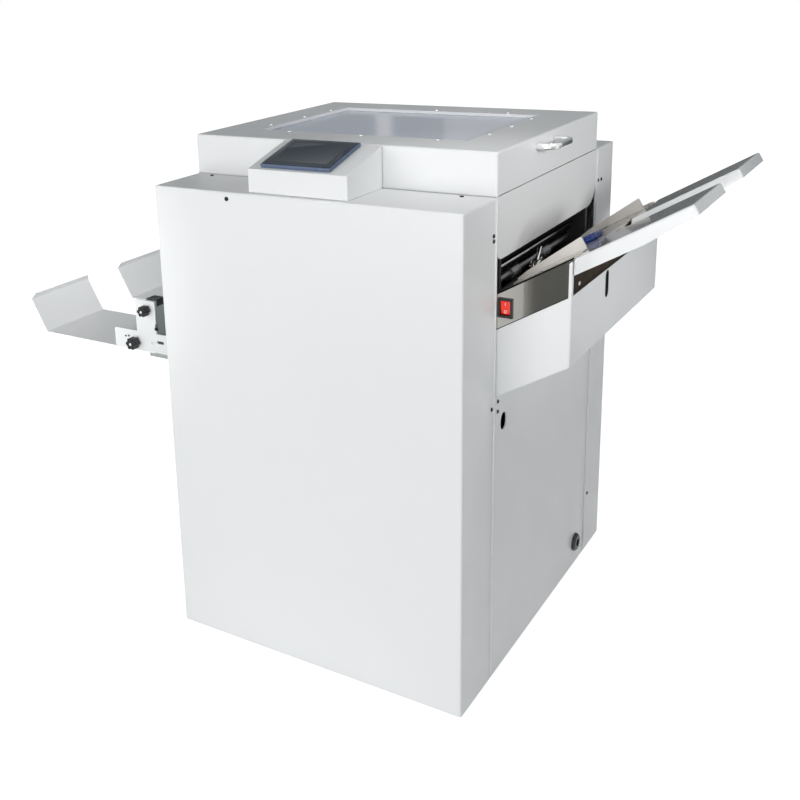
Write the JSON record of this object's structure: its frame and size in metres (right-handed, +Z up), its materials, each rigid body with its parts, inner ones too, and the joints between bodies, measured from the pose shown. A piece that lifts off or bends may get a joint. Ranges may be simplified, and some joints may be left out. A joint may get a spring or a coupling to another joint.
{
  "type": "booklet maker",
  "caption": "Floor-standing booklet maker: white sheet-metal cabinet, sloping infeed table, hinged window lid, touch panel, stitching and folding train, delivery trays.",
  "frame": {"origin": "on the floor, under the middle of the whole machine's outline", "axes": "+X from the delivery trays to the infeed table, +Y from the console side to the rear, +Z up"},
  "size_m": [1.3033, 0.685, 0.9035],
  "materials": {
    "white_paint": "semi-gloss powder coat",
    "grey_paint": "matt paint",
    "stainless": "brushed",
    "steel": "ground",
    "dark_steel": "blackened",
    "chrome": "polished",
    "rubber": "matt",
    "black_plastic": "fine grained",
    "red_plastic": "gloss",
    "screen_plastic": "gloss",
    "clear_plastic": "clear gloss",
    "wire": "bright"
  },
  "bodies": {
    "machine": {"base_pan": "grey_paint", "clincher_bar": "steel", "console_housing": "white_paint", "control_box": "grey_paint", "delivery_chute": "stainless", "drive_motor": "dark_steel", "feed_table": "stainless", "foot_front_left": "rubber", "foot_front_right": "rubber", "foot_rear_left": "rubber", "foot_rear_right": "rubber", "front_cover": "white_paint", "front_delivery_post": "steel", "front_extension_arm": "white_paint", "front_frame": "grey_paint", "front_stitch_head": "steel", "head_rail": "steel", "hinge_base_leaf": "steel", "infeed_cover": "white_paint", "infeed_fascia": "stainless", "infeed_housing": "white_paint", "left_panel": "white_paint", "power_inlet": "black_plastic", "rear_cover": "white_paint", "rear_delivery_post": "steel", "rear_extension_arm": "white_paint", "rear_frame": "grey_paint", "rear_stitch_head": "steel", "right_panel": "white_paint", "spool_shaft": "steel", "switch_bezel": "black_plastic", "touch_panel": "screen_plastic"},
    "lid": {"lid": "white_paint", "lid_window": "clear_plastic", "lid_handle": "chrome", "hinge_lid_leaf": "steel"},
    "switch": {"switch_rocker": "red_plastic"},
    "front_guide": {"front_side_guide": "stainless"},
    "rear_guide": {"rear_side_guide": "stainless"},
    "feed_shaft": {"feed_roller": "rubber"},
    "press_shaft": {"press_roller": "steel"},
    "front_driver": {"front_stitch_driver": "dark_steel"},
    "rear_driver": {"rear_stitch_driver": "dark_steel"},
    "front_spool": {"front_wire_spool": "wire"},
    "rear_spool": {"rear_wire_spool": "wire"},
    "knife": {"fold_knife": "stainless"},
    "right_fold_shaft": {"fold_roller_right": "steel"},
    "left_fold_shaft": {"fold_roller_left": "steel"},
    "pinion": {"motor_pinion": "dark_steel"},
    "stop": {"stop_gate": "steel"},
    "lower_exit_shaft": {"delivery_roller_lower": "rubber"},
    "upper_exit_shaft": {"delivery_roller_upper": "steel"},
    "front_arm": {"front_delivery_arm": "white_paint"},
    "rear_arm": {"rear_delivery_arm": "white_paint"},
    "front_tray": {"front_delivery_tray": "white_paint"},
    "rear_tray": {"rear_delivery_tray": "white_paint"},
    "front_height_clamp": {"front_height_knob": "black_plastic"},
    "rear_height_clamp": {"rear_height_knob": "black_plastic"},
    "front_tray_clamp": {"front_tray_knob": "black_plastic"},
    "rear_tray_clamp": {"rear_tray_knob": "black_plastic"}
  },
  "joints": [
    {"name": "lid_hinge", "type": "hinge", "parent": "machine", "child": "lid", "pos_m": [-0.19402, 0, 0.8328], "axis": [0, -1, 0], "range_deg": [0, 80]},
    {"name": "power_switch", "type": "hinge", "parent": "machine", "child": "switch", "pos_m": [0.38003, -0.2225, 0.66353], "axis": [1, 0, 0], "range_deg": [-16, 0]},
    {"name": "front_guide_slide", "type": "slide", "parent": "machine", "child": "front_guide", "axis": [0, 1, 0], "range_m": [-0.015, 0.045]},
    {"name": "rear_guide_slide", "type": "slide", "parent": "machine", "child": "rear_guide", "axis": [0, 1, 0], "range_m": [-0.045, 0.015]},
    {"name": "feed_roller_spin", "type": "hinge", "parent": "machine", "child": "feed_shaft", "pos_m": [0.34123, 0, 0.65167], "axis": [0, 1, 0], "continuous": true},
    {"name": "press_roller_spin", "type": "hinge", "parent": "machine", "child": "press_shaft", "pos_m": [0.32702, 0, 0.6758], "axis": [0, 1, 0], "continuous": true},
    {"name": "front_driver_slide", "type": "slide", "parent": "machine", "child": "front_driver", "axis": [0.5075, 0, -0.8616], "range_m": [0, 0.009]},
    {"name": "rear_driver_slide", "type": "slide", "parent": "machine", "child": "rear_driver", "axis": [0.5075, 0, -0.8616], "range_m": [0, 0.009]},
    {"name": "front_spool_spin", "type": "hinge", "parent": "machine", "child": "front_spool", "pos_m": [0.0018, 0, 0.75697], "axis": [0, 1, 0], "continuous": true},
    {"name": "rear_spool_spin", "type": "hinge", "parent": "machine", "child": "rear_spool", "pos_m": [0.0018, 0, 0.75697], "axis": [0, 1, 0], "continuous": true},
    {"name": "fold_knife_slide", "type": "slide", "parent": "machine", "child": "knife", "axis": [-0.5075, 0, 0.8616], "range_m": [0, 0.024]},
    {"name": "right_fold_roller_spin", "type": "hinge", "parent": "machine", "child": "right_fold_shaft", "pos_m": [0.05943, 0, 0.53106], "axis": [0, 1, 0], "continuous": true},
    {"name": "left_fold_roller_spin", "type": "hinge", "parent": "machine", "child": "left_fold_shaft", "pos_m": [0.02324, 0, 0.50974], "axis": [0, 1, 0], "continuous": true},
    {"name": "motor_pinion_spin", "type": "hinge", "parent": "machine", "child": "pinion", "pos_m": [0.05911, 0, 0.56706], "axis": [0, 1, 0], "continuous": true},
    {"name": "stop_gate_slide", "type": "slide", "parent": "machine", "child": "stop", "axis": [0.8616, 0, 0.5075], "range_m": [-0.065, 0.04]},
    {"name": "lower_delivery_roller_spin", "type": "hinge", "parent": "machine", "child": "lower_exit_shaft", "pos_m": [-0.16072, 0, 0.56877], "axis": [0, 1, 0], "continuous": true},
    {"name": "upper_delivery_roller_spin", "type": "hinge", "parent": "machine", "child": "upper_exit_shaft", "pos_m": [-0.16072, 0, 0.59477], "axis": [0, 1, 0], "continuous": true},
    {"name": "front_arm_height", "type": "slide", "parent": "machine", "child": "front_arm", "axis": [0, 0, 1], "range_m": [-0.03, 0.01]},
    {"name": "front_tray_slide", "type": "slide", "parent": "front_arm", "child": "front_tray", "axis": [1, 0, 0], "range_m": [-0.03, 0.02]},
    {"name": "front_height_knob_turn", "type": "hinge", "parent": "front_arm", "child": "front_height_clamp", "pos_m": [-0.33522, -0.216, 0.55977], "axis": [0, 1, 0], "continuous": true},
    {"name": "front_tray_knob_turn", "type": "hinge", "parent": "front_arm", "child": "front_tray_clamp", "pos_m": [-0.36822, -0.216, 0.49077], "axis": [0, 1, 0], "continuous": true},
    {"name": "rear_arm_height", "type": "slide", "parent": "machine", "child": "rear_arm", "axis": [0, 0, 1], "range_m": [-0.03, 0.01]},
    {"name": "rear_tray_slide", "type": "slide", "parent": "rear_arm", "child": "rear_tray", "axis": [1, 0, 0], "range_m": [-0.03, 0.02]},
    {"name": "rear_height_knob_turn", "type": "hinge", "parent": "rear_arm", "child": "rear_height_clamp", "pos_m": [-0.33522, 0.216, 0.55977], "axis": [0, 1, 0], "continuous": true},
    {"name": "rear_tray_knob_turn", "type": "hinge", "parent": "rear_arm", "child": "rear_tray_clamp", "pos_m": [-0.36822, 0.216, 0.49077], "axis": [0, 1, 0], "continuous": true}
  ],
  "couplings": [
    {"joint": "rear_guide_slide", "follows": "front_guide_slide", "ratio": -1},
    {"joint": "press_roller_spin", "follows": "feed_roller_spin", "ratio": -1.25},
    {"joint": "rear_driver_slide", "follows": "front_driver_slide", "ratio": 1},
    {"joint": "left_fold_roller_spin", "follows": "right_fold_roller_spin", "ratio": -1},
    {"joint": "motor_pinion_spin", "follows": "right_fold_roller_spin", "ratio": -1.4},
    {"joint": "upper_delivery_roller_spin", "follows": "lower_delivery_roller_spin", "ratio": -1}
  ]
}
